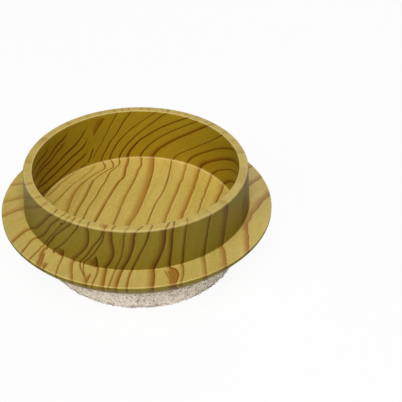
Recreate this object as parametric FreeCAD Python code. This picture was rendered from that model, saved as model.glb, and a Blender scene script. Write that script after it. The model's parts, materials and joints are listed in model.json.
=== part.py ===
"""Castor cup: a moulded cup with a broad saucer-shaped flange, standing on a thick felt pad.

Millimetres, +Z up. The origin is the centre of the pad's face on the floor.
"""
import FreeCAD, Part
import os

# The castor's seat
bore_diameter = 60.0
seat_depth = 17.6
floor_thickness = 3.4

# The wall round the seat
rim_wall = 2.6
wall_draft = 0.8

# The flange round the wall's foot, with its crowned underside
flange_width = 6.6
flange_fall = 0.4
flange_edge = 1.2
flange_rise = 7.8
underside_width = 9.3
underside_crown = 0.8

# The collar under the cup that holds the pad
collar_height = 2.0
collar_draft = 0.9
collar_wall = 1.0
recess_depth = 3.2

# The felt pad
felt_thickness = 10.0
felt_clearance = 0.3

# Eased edges
rim_outer_round = 0.7
rim_inner_bevel = 0.3
flange_top_bevel = 0.3
flange_under_round = 0.7
lip_bevel = 0.25

# Radii that follow from the seat outwards, then from the flange back in to the pad
bore_radius = bore_diameter / 2
rim_radius = bore_radius + rim_wall
wall_radius = rim_radius + wall_draft
flange_radius = wall_radius + flange_width
collar_radius = flange_radius - underside_width
lip_radius = collar_radius - collar_draft
recess_radius = lip_radius - collar_wall
pad_radius = recess_radius - felt_clearance

# Heights that follow from the floor upwards
pad_seat_z = felt_thickness
lip_z = pad_seat_z - recess_depth
collar_z = lip_z + collar_height
edge_under_z = collar_z + flange_rise
edge_top_z = edge_under_z + flange_edge
wall_foot_z = edge_top_z + flange_fall
seat_z = pad_seat_z + floor_thickness
rim_z = seat_z + seat_depth

ORIGIN = FreeCAD.Vector(0, 0, 0)
AXIS = FreeCAD.Vector(0, 0, 1)
SECTION_PLANE = Part.Plane(ORIGIN, FreeCAD.Vector(0, -1, 0))
FULL_TURN = 360


def straight(start, end):
    """A straight edge of the section."""
    return Part.LineSegment(start, end).toShape()


def crowned(start, end, crown):
    """An arc from start to end that bulges by crown to the left of its way."""
    way = end - start
    left = FreeCAD.Vector(-way.z, 0, way.x).normalize()
    middle = (start + end) * 0.5 + left * crown
    return Part.Arc(start, middle, end).toShape()


def rounded(before, after, corner, radius):
    """Two edges that meet at a corner, and the arc that rounds it."""
    fillet = Part.ChFi2d.FilletAlgo(Part.Wire([before, after]), SECTION_PLANE)
    fillet.perform(radius)
    arc, before, after = fillet.result(corner)
    return [before, arc, after]


def bevelled(before, after, corner, width):
    """Two edges that meet at a corner, and the flat that breaks it, this wide along each edge."""
    chamfer = Part.ChFi2d.ChamferAPI(Part.Wire([before, after]))
    chamfer.perform()
    flat, before, after = chamfer.result(width, width)
    return [before, flat, after]


def turned(edges):
    """The solid that a closed half section sweeps round the axis."""
    face = Part.Face(Part.Wire(Part.__sortEdges__(edges)))
    return Part.Solid(face.revolve(ORIGIN, AXIS, FULL_TURN))


def make_cup():
    """Floor, wall, flange and collar, moulded as one piece."""
    corners = [
        (0, seat_z, None, 0),
        (bore_radius, seat_z, None, 0),
        (bore_radius, rim_z, bevelled, rim_inner_bevel),
        (rim_radius, rim_z, rounded, rim_outer_round),
        (wall_radius, wall_foot_z, None, 0),
        (flange_radius, edge_top_z, bevelled, flange_top_bevel),
        (flange_radius, edge_under_z, rounded, flange_under_round),
        (collar_radius, collar_z, None, 0),
        (lip_radius, lip_z, bevelled, lip_bevel),
        (recess_radius, lip_z, None, 0),
        (recess_radius, pad_seat_z, None, 0),
        (0, pad_seat_z, None, 0),
    ]
    points = [FreeCAD.Vector(radius, 0, height) for radius, height, _, _ in corners]
    edges = []
    for start, end in zip(points, points[1:] + points[:1]):
        is_underside = start.z == edge_under_z
        edges.append(crowned(start, end, underside_crown) if is_underside else straight(start, end))
    for index in reversed(range(len(corners))):
        _, _, ease, size = corners[index]
        if ease:
            edges[index - 1:index + 1] = ease(edges[index - 1], edges[index], points[index], size)
    return turned(edges)


def make_felt_pad():
    """The die-cut felt disc, stuck into the collar."""
    return Part.makeCylinder(pad_radius, felt_thickness)


os.makedirs("parts", exist_ok=True)
for node, shape in {"cup": make_cup(), "felt_pad": make_felt_pad()}.items():
    shape.exportStep(f"parts/{node}.step")
    print(node, "valid", shape.isValid(), "volume", round(shape.Volume, 1), "mm3")
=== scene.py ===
"""Castor cup: a moulded cup with a printed wood grain, standing on a thick heather felt pad.

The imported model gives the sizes. This script turns the cup from its section, dresses it with the
print, makes the felt with its fibres, and sets the light, the floor and the camera.
"""

import json
import logging
import math
from dataclasses import dataclass
from enum import Enum
from functools import cached_property, partial
from typing import Any, Callable, ClassVar, Iterable, Mapping, Sequence, Union

import bpy
from mathutils import Matrix, Vector, noise


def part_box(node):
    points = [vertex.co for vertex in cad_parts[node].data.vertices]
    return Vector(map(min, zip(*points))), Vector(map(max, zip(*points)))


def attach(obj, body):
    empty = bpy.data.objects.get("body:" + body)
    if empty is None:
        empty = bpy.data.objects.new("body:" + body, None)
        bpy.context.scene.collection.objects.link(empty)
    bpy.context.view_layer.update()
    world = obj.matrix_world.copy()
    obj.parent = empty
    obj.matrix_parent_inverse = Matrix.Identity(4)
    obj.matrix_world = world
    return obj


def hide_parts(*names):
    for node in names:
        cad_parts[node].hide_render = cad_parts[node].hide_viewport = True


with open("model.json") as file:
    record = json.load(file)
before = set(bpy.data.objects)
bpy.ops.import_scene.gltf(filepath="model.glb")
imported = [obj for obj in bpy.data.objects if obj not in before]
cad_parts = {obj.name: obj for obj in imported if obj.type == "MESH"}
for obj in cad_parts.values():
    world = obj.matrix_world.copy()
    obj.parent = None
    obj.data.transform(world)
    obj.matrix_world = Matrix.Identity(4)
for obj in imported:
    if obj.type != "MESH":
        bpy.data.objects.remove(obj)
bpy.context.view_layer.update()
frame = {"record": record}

LOG = logging.getLogger("castor_cup")
MM = 0.001
FRONT_DEGREES = 270.0
BACK_DEGREES = 90.0
GRAIN_LEAN = 0.3
PHOTO_PIXELS = 402
SENSOR_WIDTH_MM = 36.0

Number = Union[int, float]
Point2 = tuple[float, float]
Point3 = tuple[float, float, float]
Colour = tuple[float, float, float]

WHITE: Colour = (1.0, 1.0, 1.0)


def from_srgb(red: int, green: int, blue: int) -> Colour:
    """Turn a colour written in screen values into the linear one that a shader takes.

    Args:
        red: Screen red, 0 to 255.
        green: Screen green, 0 to 255.
        blue: Screen blue, 0 to 255.

    Returns:
        The linear colour.
    """
    def linear(value: int) -> float:
        """Undo the screen's curve for one channel."""
        share = value / 255
        return share / 12.92 if share <= 0.04045 else ((share + 0.055) / 1.055) ** 2.4

    return linear(red), linear(green), linear(blue)


class Slot(Enum):
    """The record's material slots."""

    GRAINED_PLASTIC = "grained_plastic"
    HEATHER_FELT = "heather_felt"


class Blend(Enum):
    """Ways to lay one colour over another."""

    MIX = "MIX"
    MULTIPLY = "MULTIPLY"


@dataclass(frozen=True)
class Wave:
    """A layer of noise: its waves for each mm, its octaves above the first, its share and its roughness."""

    scale: float
    detail: float
    share: float = 1.0
    roughness: float = 0.5


def operator(operation: str) -> Callable[["Wire", "Value"], "Wire"]:
    """Make the method of a Python operator on wires.

    Args:
        operation: The Math node's operation.

    Returns:
        The method.
    """
    def method(self: "Wire", other: "Value") -> "Wire":
        """Join the two in a Math node."""
        return self.sheet.math(operation, self, other)

    return method


class Wire:
    """A node's output that takes part in Python expressions on values."""

    def __init__(self, sheet: "NodeSheet", socket: bpy.types.NodeSocket) -> None:
        """Keep the socket and the sheet that it is on."""
        self.sheet = sheet
        self.socket = socket

    def __rsub__(self, other: Number) -> "Wire":
        """Subtract from a number."""
        return self.sheet.math("SUBTRACT", other, self)

    __add__ = __radd__ = operator("ADD")
    __sub__ = operator("SUBTRACT")
    __mul__ = __rmul__ = operator("MULTIPLY")
    __truediv__ = operator("DIVIDE")
    __pow__ = operator("POWER")
    __gt__ = operator("GREATER_THAN")
    __lt__ = operator("LESS_THAN")


Value = Union[Wire, int, float, Sequence[float], Any]


class NodeSheet:
    """A node tree, of a material or of geometry, that is written as calls."""

    def __init__(self, tree: bpy.types.NodeTree) -> None:
        """Clear the tree."""
        self.tree = tree
        tree.nodes.clear()

    def node(
        self,
        kind: str,
        settings: Mapping[str, Any] | None = None,
        inputs: Mapping[Any, Value] | None = None,
        output: Union[int, str] = 0,
    ) -> Wire:
        """Add a node.

        Args:
            kind: The node's type.
            settings: Its properties. "stops" and "steps" hold the places and colours of a ramp that runs
                smoothly or in steps, "curve" and "smooth_curve" the points of a curve.
            inputs: Values or wires, by the socket's place, name or identifier.
            output: The output to return, by its place, name or identifier.

        Returns:
            The wire of that output.
        """
        made = self.tree.nodes.new(kind)
        for name, setting in (settings or {}).items():
            if name in ("stops", "steps"):
                made.color_ramp.interpolation = "LINEAR" if name == "stops" else "CONSTANT"
                self._set_stops(made.color_ramp, setting)
            elif name in ("curve", "smooth_curve"):
                self._set_curve(made.mapping, setting, "VECTOR" if name == "curve" else "AUTO_CLAMPED")
            else:
                setattr(made, name, setting)
        for key, value in (inputs or {}).items():
            self.feed(self._socket(made.inputs, key), value)
        return Wire(self, self._socket(made.outputs, output)) if made.outputs else Wire(self, None)

    def feed(self, socket: bpy.types.NodeSocket, value: Value) -> None:
        """Link a wire to a socket, or set the socket's own value.

        Args:
            socket: The socket.
            value: The wire, number, vector, colour or other setting.
        """
        if isinstance(value, Wire):
            self.tree.links.new(value.socket, socket)
        elif isinstance(value, (tuple, list)) and len(value) == 3 and socket.type == "RGBA":
            socket.default_value = (*value, 1.0)
        else:
            socket.default_value = value

    def math(self, operation: str, *values: Value, clamp: bool = False) -> Wire:
        """Add a Math node over values."""
        settings = {"operation": operation, "use_clamp": clamp}
        return self.node("ShaderNodeMath", settings, dict(enumerate(values)))

    def vector(self, operation: str, *values: Value, output: Union[int, str] = "Vector") -> Wire:
        """Add a Vector Math node over vectors."""
        settings = {"operation": operation}
        return self.node("ShaderNodeVectorMath", settings, dict(enumerate(values)), output)

    def blend(self, factor: Value, first: Value, second: Value, how: Blend = Blend.MIX) -> Wire:
        """Add a Mix node over colours.

        Args:
            factor: The second colour's share.
            first: The colour below.
            second: The colour over it.
            how: The way it is laid.

        Returns:
            The mixed colour.
        """
        settings = {"data_type": "RGBA", "blend_type": how.value, "clamp_factor": True}
        inputs = {"Factor_Float": factor, "A_Color": first, "B_Color": second}
        return self.node("ShaderNodeMix", settings, inputs, "Result_Color")

    def step(self, value: Value, start: Value, end: Value) -> Wire:
        """Add a smooth rise from zero to one.

        Args:
            value: What is measured.
            start: Where the rise starts.
            end: Where it ends.

        Returns:
            The share of the rise.
        """
        settings = {"interpolation_type": "SMOOTHSTEP", "clamp": False}
        inputs = {"Value": value, "From Min": start, "From Max": end}
        return self.node("ShaderNodeMapRange", settings, inputs, "Result")

    def noise(self, place: Value, wave: Wave) -> Wire:
        """Add a noise about zero.

        Args:
            place: The point, in the wave's units.
            wave: The layer of noise.

        Returns:
            The noise, from about minus the wave's share to its share.
        """
        inputs = {"Vector": place, "Scale": wave.scale, "Detail": wave.detail, "Roughness": wave.roughness}
        raw = self.node("ShaderNodeTexNoise", {"noise_dimensions": "3D"}, inputs, "Fac")
        return raw * (2.0 * wave.share) - wave.share

    @staticmethod
    def _socket(sockets: Any, key: Union[int, str]) -> bpy.types.NodeSocket:
        """Find a socket among those in use.

        Args:
            sockets: A node's inputs or outputs.
            key: The socket's place, identifier or name.

        Returns:
            The socket.

        Raises:
            KeyError: No socket in use has that name.
        """
        if isinstance(key, int):
            return sockets[key]
        for socket in sockets:
            if socket.identifier == key:
                return socket
        for socket in sockets:
            if socket.name == key and socket.enabled:
                return socket
        raise KeyError(f"no socket {key}")

    @staticmethod
    def _set_stops(ramp: bpy.types.ColorRamp, stops: Sequence[tuple[float, Colour]]) -> None:
        """Give a ramp its stops.

        Args:
            ramp: The ramp.
            stops: Its places and colours.
        """
        while len(ramp.elements) < len(stops):
            ramp.elements.new(1.0)
        for element, (place, colour) in zip(ramp.elements, stops):
            element.position = place
            element.color = (*colour, 1.0)

    @staticmethod
    def _set_curve(mapping: bpy.types.CurveMapping, points: Sequence[Point2], handle: str) -> None:
        """Give a curve its points.

        Args:
            mapping: The curve's mapping.
            points: The points, from left to right.
            handle: The way they are joined.
        """
        curve = mapping.curves[0]
        while len(curve.points) < len(points):
            curve.points.new(1.0, 1.0)
        for point, place in zip(curve.points, points):
            point.location = place
            point.handle_type = handle
        mapping.update()


class MaterialSheet(NodeSheet):
    """The node tree of one new material."""

    def __init__(self, name: str) -> None:
        """Make the material.

        Args:
            name: The material's name.
        """
        self.material = bpy.data.materials.new(name)
        self.material.use_nodes = True
        super().__init__(self.material.node_tree)

    @cached_property
    def place(self) -> Wire:
        """The shaded point in millimetres, in the piece's own frame."""
        return self.scaled(self.node("ShaderNodeTexCoord", output="Object"), 1.0 / MM)

    @cached_property
    def axes(self) -> tuple[Wire, ...]:
        """The shaded point's places to the right, to the back and up."""
        return self.split("ShaderNodeSeparateXYZ", self.place)

    @cached_property
    def radius(self) -> Wire:
        """The shaded point's distance from the upright axis."""
        flat = self.vector("MULTIPLY", self.place, (1.0, 1.0, 0.0))
        return self.vector("LENGTH", flat, output="Value")

    def scaled(self, place: Wire, factor: Value) -> Wire:
        """Scale a vector."""
        settings = {"operation": "SCALE"}
        return self.node("ShaderNodeVectorMath", settings, {"Vector": place, "Scale": factor}, "Vector")

    def split(self, kind: str, whole: Wire) -> tuple[Wire, ...]:
        """The three parts of a vector or colour, by a node of that kind."""
        outputs = self.node(kind, None, {0: whole}).socket.node.outputs
        return tuple(Wire(self, output) for output in outputs[:3])

    def layered(self, waves: Sequence[Wave]) -> Wire:
        """Add up some layers of noise at the shaded point.

        Args:
            waves: The layers.

        Returns:
            Their sum.
        """
        total = self.noise(self.place, waves[0])
        for wave in waves[1:]:
            total = total + self.noise(self.place, wave)
        return total

    def bump(self, strength: float, distance: float, height: Wire) -> Wire:
        """Raise the surface a little.

        Args:
            strength: How much of the bump shows.
            distance: The height of one, in metres.
            height: The bump's height, in those distances.

        Returns:
            The normal.
        """
        inputs = {"Strength": strength, "Distance": distance, "Height": height}
        return self.node("ShaderNodeBump", None, inputs)

    def surface(self, inputs: Mapping[str, Value]) -> bpy.types.Material:
        """Close the material with a Principled shader.

        Args:
            inputs: The shader's values or wires, by name.

        Returns:
            The finished material.
        """
        shader = self.node("ShaderNodeBsdfPrincipled", None, inputs)
        self.node("ShaderNodeOutputMaterial", None, {"Surface": shader})
        return self.material


class GeometrySheet(NodeSheet):
    """A geometry node tree with named inputs, run on one object and then made plain."""

    KINDS = {float: "NodeSocketFloat", int: "NodeSocketInt", bpy.types.Material: "NodeSocketMaterial"}

    def __init__(self, name: str) -> None:
        """Make the tree with its geometry in and out.

        Args:
            name: The tree's name.
        """
        super().__init__(bpy.data.node_groups.new(name, "GeometryNodeTree"))
        self.identifiers: dict[str, str] = {}
        self.settings: dict[str, Any] = {}
        for side in ("INPUT", "OUTPUT"):
            self.tree.interface.new_socket("Geometry", in_out=side, socket_type="NodeSocketGeometry")
        self._entry = self.tree.nodes.new("NodeGroupInput")

    @property
    def geometry(self) -> Wire:
        """The geometry that comes in."""
        return Wire(self, self._entry.outputs["Geometry"])

    def named(self, name: str, value: Any) -> Wire:
        """Add a named input.

        Args:
            name: The input's name.
            value: The value that the modifier gets.

        Returns:
            The input's wire.
        """
        kind = next(socket for base, socket in self.KINDS.items() if isinstance(value, base))
        made = self.tree.interface.new_socket(name, in_out="INPUT", socket_type=kind)
        self.identifiers[name] = made.identifier
        self.settings[name] = value
        return Wire(self, self._socket(self._entry.outputs, made.identifier))

    def finish(self, geometry: Wire, material: Wire) -> None:
        """End the tree in real faces of one material.

        Args:
            geometry: What the tree has made.
            material: The finish.
        """
        real = self.node("GeometryNodeRealizeInstances", None, {0: geometry})
        dressed = self.node("GeometryNodeSetMaterial", None, {"Geometry": real, "Material": material})
        self.node("NodeGroupOutput", None, {0: dressed})

    def plain_mesh(self, piece: bpy.types.Object) -> bpy.types.Mesh:
        """Run the tree on a piece.

        Args:
            piece: The object whose mesh comes in.

        Returns:
            The result as a plain mesh.
        """
        modifier = piece.modifiers.new(self.tree.name, "NODES")
        modifier.node_group = self.tree
        for name, identifier in self.identifiers.items():
            modifier[identifier] = self.settings[name]
        depsgraph = bpy.context.evaluated_depsgraph_get()
        mesh = bpy.data.meshes.new_from_object(
            piece.evaluated_get(depsgraph), preserve_all_data_layers=True, depsgraph=depsgraph
        )
        piece.modifiers.remove(modifier)
        return mesh


def new_object(name: str, data: Any) -> bpy.types.Object:
    """Link an object at the origin.

    Args:
        name: The object's name.
        data: The mesh, lamp or camera that it holds.

    Returns:
        The object.
    """
    made = bpy.data.objects.new(name, data)
    bpy.context.scene.collection.objects.link(made)
    return made


@dataclass(frozen=True)
class Corner:
    """A corner of a half section, with the round that eases it."""

    radius: float
    height: float
    ease: float = 0.0

    @property
    def place(self) -> Vector:
        """The corner in the section's plane."""
        return Vector((self.radius, self.height))


@dataclass(frozen=True)
class Section:
    """A half section that is turned round the axis into a solid.

    A point at the hold's distance from each end keeps a long run flat under smooth shading. A run counts as
    long when it measures more than that many holds.
    """

    corners: Sequence[Corner]
    arc_steps: int = 5
    hold: float = 0.06 * MM
    long_run: float = 6.0
    weld: float = 0.002 * MM

    def outline(self) -> list[Vector]:
        """Work out the points of the section.

        Returns:
            The points, with each eased corner as an arc, and each long run held flat.
        """
        rounded: list[Vector] = []
        last = len(self.corners) - 1
        for index, corner in enumerate(self.corners):
            if corner.ease and 0 < index < last:
                before = self.corners[index - 1].place
                after = self.corners[index + 1].place
                rounded += self._arc(before, corner.place, after, corner.ease)
            else:
                rounded.append(corner.place)
        return self._held(rounded)

    def _arc(self, before: Vector, corner: Vector, after: Vector, radius: float) -> list[Vector]:
        """Round one corner between its two neighbours.

        Args:
            before: The corner before.
            corner: The corner itself.
            after: The corner after.
            radius: The arc's radius.

        Returns:
            The arc's points.
        """
        back = (before - corner).normalized()
        ahead = (after - corner).normalized()
        half_angle = back.angle(ahead) / 2
        reach = radius / math.tan(half_angle)
        centre = corner + (back + ahead).normalized() * (radius / math.sin(half_angle))
        start = corner + back * reach - centre
        end = corner + ahead * reach - centre
        points = []
        for step in range(self.arc_steps + 1):
            turn = start.angle_signed(end) * step / self.arc_steps
            points.append(centre + Matrix.Rotation(-turn, 2) @ start)
        return points

    def _held(self, points: Sequence[Vector]) -> list[Vector]:
        """Hold long runs flat.

        Args:
            points: The section's points.

        Returns:
            The same points, with one more near each end of a long run.
        """
        held = [points[0]]
        for start, end in zip(points, points[1:]):
            way = end - start
            if way.length > self.long_run * self.hold:
                held += [start + way.normalized() * self.hold, end - way.normalized() * self.hold]
            held.append(end)
        return held

    def turned(self, name: str, segments: int, material: bpy.types.Material) -> bpy.types.Object:
        """Turn the section round the axis.

        Args:
            name: The piece's name.
            segments: Steps round the axis.
            material: The finish.

        Returns:
            The piece, a closed mesh with its faces outwards.
        """
        points = self.outline()
        wire = bpy.data.meshes.new(name)
        ends = [(index, index + 1) for index in range(len(points) - 1)]
        wire.from_pydata([(point.x, 0.0, point.y) for point in points], ends, [])
        piece = new_object(name, wire)
        sheet = GeometrySheet("turned_section")
        count = sheet.named("Segments", segments)
        finish = sheet.named("Finish", material)
        weld = sheet.named("Weld", self.weld)
        grid = sheet.node(
            "GeometryNodeMeshGrid", None, {"Vertices X": count + 1.0, "Vertices Y": len(points)}, "Mesh"
        )
        place = self._swept(sheet, count, len(points))
        wrapped = sheet.node("GeometryNodeSetPosition", None, {"Geometry": grid, "Position": place})
        welded = sheet.node("GeometryNodeMergeByDistance", None, {"Geometry": wrapped, "Distance": weld})
        smooth = sheet.node("GeometryNodeSetShadeSmooth", None, {0: welded})
        sheet.finish(smooth, finish)
        piece.data = sheet.plain_mesh(piece)
        return piece

    @staticmethod
    def _swept(sheet: GeometrySheet, count: Wire, corner_count: int) -> Wire:
        """Place a grid's points on the turned section.

        Args:
            sheet: The tree, with the section's points coming in.
            count: Steps round the axis.
            corner_count: The section's points, which are the grid's rows.

        Returns:
            Each point's place.
        """
        index = sheet.node("GeometryNodeInputIndex")
        column = sheet.math("FLOOR", index / corner_count + 0.5 / corner_count)
        row = index - column * corner_count
        corner = sheet.node(
            "GeometryNodeSampleIndex",
            {"data_type": "FLOAT_VECTOR", "domain": "POINT"},
            {
                "Geometry": sheet.geometry,
                "Value": sheet.node("GeometryNodeInputPosition"),
                "Index": row,
            },
        )
        radius = sheet.node("ShaderNodeSeparateXYZ", None, {0: corner}, "X")
        height = Wire(sheet, radius.socket.node.outputs["Z"])
        angle = column * math.tau / count
        right, back = radius * sheet.math("COSINE", angle), radius * sheet.math("SINE", angle)
        return sheet.node("ShaderNodeCombineXYZ", None, {"X": right, "Y": back, "Z": height})


@dataclass(frozen=True)
class Span:
    """A stretch of a scale."""

    first: float
    length: float

    def share(self, value: Value) -> Value:
        """A value's place in the stretch, from zero to one."""
        return (value - self.first) / self.length


@dataclass(frozen=True)
class Ring:
    """A printed growth ring: its edge and its shade's reach across the grain, in mm, and its depth."""

    edge: float
    shade: float
    depth: float


@dataclass(frozen=True)
class Grain:
    """The growth rings over one side of the cup, in millimetres across the grain."""

    TRAIT_SCALE: ClassVar[float] = 10.0

    start: float
    rings: tuple[Ring, ...]
    lean: float

    def across(self, sheet: MaterialSheet) -> Wire:
        """Measure how far across the grain a point lies.

        Args:
            sheet: The material's sheet.

        Returns:
            The distance.
        """
        raise NotImplementedError

    def phase(self, sheet: MaterialSheet, wander: Wire) -> Wire:
        """Count the rings up to a point.

        Args:
            sheet: The material's sheet.
            wander: How far the rings wander there.

        Returns:
            The number of rings passed, with the share of the ring that the point is in.
        """
        count = len(self.rings)
        span = Span(self.start, self.rings[-1].edge - self.start)
        points = [(0.0, 0.0)]
        points += [(span.share(ring.edge), index / count) for index, ring in enumerate(self.rings, 1)]
        share = span.share(self.across(sheet) + wander)
        return sheet.node("ShaderNodeFloatCurve", {"curve": points}, {"Value": share}) * float(count)

    def traits(self, sheet: MaterialSheet, phase: Wire) -> Wire:
        """Look up a ring's width, shade and depth.

        Args:
            sheet: The material's sheet.
            phase: The number of rings passed.

        Returns:
            A colour that holds the three, the first two in tenths.
        """
        count = len(self.rings)
        edges = [self.start, *(ring.edge for ring in self.rings)]
        stops = []
        for index, ring in enumerate(self.rings):
            width = ring.edge - edges[index]
            held = width / self.TRAIT_SCALE, ring.shade / self.TRAIT_SCALE, ring.depth
            stops.append((index / count, held))
        return sheet.node("ShaderNodeValToRGB", {"steps": stops}, {"Fac": phase / float(count)}, "Color")


@dataclass(frozen=True)
class SeatGrain(Grain):
    """The rings over the seat's floor and up its wall.

    They bend at the back of the floor, kink towards its left, and are slow to climb at the wall's foot.
    """

    floor_z: float
    climb: float = 1.25
    slow_start: float = 2.9
    slow_height: float = 3.4
    back_y: float = 14.0
    back_bend: float = 0.004
    kink: float = 5.0
    kink_lean: float = 0.35
    kink_back: Point2 = (18.0, 31.0)
    kink_left: Point2 = (-2.5, -13.0)

    def across(self, sheet: MaterialSheet) -> Wire:
        """Measure across rings that lean over the floor, kink at the back and climb the wall.

        Args:
            sheet: The material's sheet.

        Returns:
            The distance.
        """
        x, y, z = sheet.axes
        rise = sheet.math("MAXIMUM", z - self.floor_z, 0.0)
        ease = 1.0 - sheet.math("EXPONENT", rise / -self.slow_height)
        climbed = rise * self.climb - ease * self.slow_start
        back = sheet.math("MAXIMUM", y - self.back_y, 0.0)
        bent = back * back * self.back_bend
        at_kink = sheet.step(y - x * self.kink_lean, *self.kink_back) * sheet.step(x, *self.kink_left)
        return x - y * self.lean + bent - at_kink * self.kink - climbed


@dataclass(frozen=True)
class OutsideGrain(Grain):
    """The rings over the rim, down the outer wall and out over the flange."""

    rim_z: float
    bore_radius: float
    rim_radius: float
    wall_radius: float
    wall_height: float
    flange_spread: float = 0.5
    slant: float = 0.3
    slant_turn: float = 0.012
    least_radius: float = 1.0

    @property
    def rim_width(self) -> float:
        """The width of the rim."""
        return self.rim_radius - self.bore_radius

    @property
    def foot(self) -> float:
        """The wall foot's place along the section."""
        return self.rim_width + self.wall_height

    def across(self, sheet: MaterialSheet) -> Wire:
        """Measure across rings that slant down the wall and fan over the rim and flange.

        Args:
            sheet: The material's sheet.

        Returns:
            The distance.
        """
        x, y, _ = sheet.axes
        radius = sheet.radius
        on_wall = sheet.math("MINIMUM", sheet.math("MAXIMUM", radius, self.rim_radius), self.wall_radius)
        spread = sheet.math("MAXIMUM", radius - self.wall_radius, 0.0) * self.flange_spread
        fanned = (on_wall + spread) / sheet.math("MAXIMUM", radius, self.least_radius)
        slanted = self._down(sheet) * self.wall_height * (self.slant - x * self.slant_turn)
        return (x - y * self.lean) * fanned + slanted

    def unrolled(self, sheet: MaterialSheet) -> tuple[Wire, Wire]:
        """Unroll the outside.

        Args:
            sheet: The material's sheet.

        Returns:
            The point's place along the section, from the rim's inner edge, and its angle round the axis in
            degrees.
        """
        x, y, _ = sheet.axes
        radius = sheet.radius
        over_rim = sheet.math("MINIMUM", radius, self.rim_radius) - self.bore_radius
        down_wall = self._down(sheet) * self.wall_height
        over_flange = sheet.math("MAXIMUM", radius - self.wall_radius, 0.0)
        angle = sheet.math("DEGREES", sheet.math("ARCTAN2", x, y * -1.0)) + FRONT_DEGREES
        return over_rim + down_wall + over_flange, angle

    def _down(self, sheet: MaterialSheet) -> Wire:
        """The share of the way down the wall."""
        _, _, z = sheet.axes
        return sheet.math("DIVIDE", self.rim_z - z, self.wall_height, clamp=True)


class Face(Enum):
    """The faces that strokes are drawn on, each with its chart's scales and the length of a line's taper.

    Over the outside a stroke gives the angle at places along the section, from the rim's inner edge. Over
    the seat's floor it gives the place to the right, from front to back. Over the seat's wall it gives the
    angle at each height or, where the lines run round the side, the height at each angle.
    """

    OUTSIDE = (Span(0.0, 22.0), Span(150.0, 160.0), 0.7)
    SEAT_FLOOR = (Span(-32.0, 64.0), Span(-32.0, 64.0), 0.7)
    SEAT_WALL = (Span(12.5, 19.0), Span(20.0, 130.0), 0.5)
    SEAT_SIDE = (Span(110.0, 110.0), Span(12.5, 19.0), 5.0)

    def __init__(self, along: Span, across: Span, taper: float) -> None:
        """Name the face's scales.

        Args:
            along: The scale that a stroke runs along.
            across: The scale that it gives its places on.
            taper: The length over which a line starts or ends.
        """
        self.along = along
        self.across = across
        self.taper = taper


@dataclass(frozen=True)
class Chart:
    """A face laid flat: a point's place along it, and its share of the scales along and across it.

    The width is the whole scale across in mm, the mask is one on the face, and the spread is the share of
    its reach that a shade has there.
    """

    along: Wire
    share_along: Wire
    share_across: Wire
    width: Value
    mask: Wire
    spread: Value = 1.0

    @classmethod
    def of(
        cls, face: Face, along: Wire, across: Wire, unit: Value, mask: Wire, spread: Value = 1.0
    ) -> "Chart":
        """Lay a face flat.

        Args:
            face: The face.
            along: The point's place along it.
            across: The point's place across it.
            unit: The length of one unit across, in mm.
            mask: One on the face.
            spread: The share of its reach that a shade has there.

        Returns:
            The face's chart.
        """
        shares = face.along.share(along), face.across.share(across)
        return cls(along, *shares, unit * face.across.length, mask, spread)


@dataclass(frozen=True)
class Stroke:
    """A printed line of its own, with a shade on its left, or below it where it runs round the seat's side.

    The way holds places along the face's chart and the line's place across it. The shade opens to its full
    reach over the first part of the way. Crisp is how strong the line itself is, and at zero only the shade
    shows.
    """

    face: Face
    way: tuple[Point2, ...]
    shade: float
    depth: float
    opens: float = 0.0
    crisp: float = 1.0
    least_reach: float = 0.05

    @classmethod
    def on(cls, face: Face, *way: Point2, **looks: float) -> "Stroke":
        """Draw a stroke on a face through the points of its way."""
        return cls(face, way, **looks)

    def gap(self, sheet: MaterialSheet, chart: Chart) -> Wire:
        """Measure how far a point lies from the line.

        Args:
            sheet: The material's sheet.
            chart: The chart of the stroke's face.

        Returns:
            The gap in millimetres, above zero on the shaded side.
        """
        face = self.face
        points = [(face.along.share(place), face.across.share(value)) for place, value in self.way]
        curve = sheet.node("ShaderNodeFloatCurve", {"smooth_curve": points}, {"Value": chart.share_along})
        return (curve - chart.share_across) * chart.width

    def reach(self, sheet: MaterialSheet, chart: Chart) -> Value:
        """Work out how far the shade reaches at a point.

        Args:
            sheet: The material's sheet.
            chart: The chart of the stroke's face.

        Returns:
            The reach, in millimetres.
        """
        if not self.opens:
            return chart.spread * self.shade
        opened = sheet.math("MINIMUM", (chart.along - self.way[0][0]) / self.opens, 1.0)
        return opened * self.shade + self.least_reach

    def share(self, sheet: MaterialSheet, chart: Chart, gap: Wire) -> Wire:
        """Work out how deep the line is at a point.

        Args:
            sheet: The material's sheet.
            chart: The chart of the stroke's face.
            gap: The gap between the point and the line.

        Returns:
            The depth on the shaded side, tapered at both ends.
        """
        first, last = self.way[0][0], self.way[-1][0]
        taper = self.face.taper
        ends = sheet.step(chart.along, first, first + taper) * sheet.step(chart.along, last + taper, last)
        return ends * (gap > 0.0) * self.depth


@dataclass(frozen=True)
class Speck:
    """A fault in the print: its angle in degrees, the rest in mm, and the share of it that is darkest."""

    angle: float
    from_axis: float
    height: float
    size: float
    core: float = 0.4

    @property
    def centre(self) -> Point3:
        """The fault's middle."""
        turn = math.radians(self.angle)
        return self.from_axis * math.cos(turn), self.from_axis * math.sin(turn), self.height


@dataclass(frozen=True)
class WornHighlitEdge:
    """An edge round the cup where the print is worn thin and a highlight is painted.

    Its place and reach are in mm. The share says how pale it is, and the core how much of its reach is
    palest.
    """

    from_axis: float
    height: float
    reach: float
    share: float
    core: float = 0.3


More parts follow.
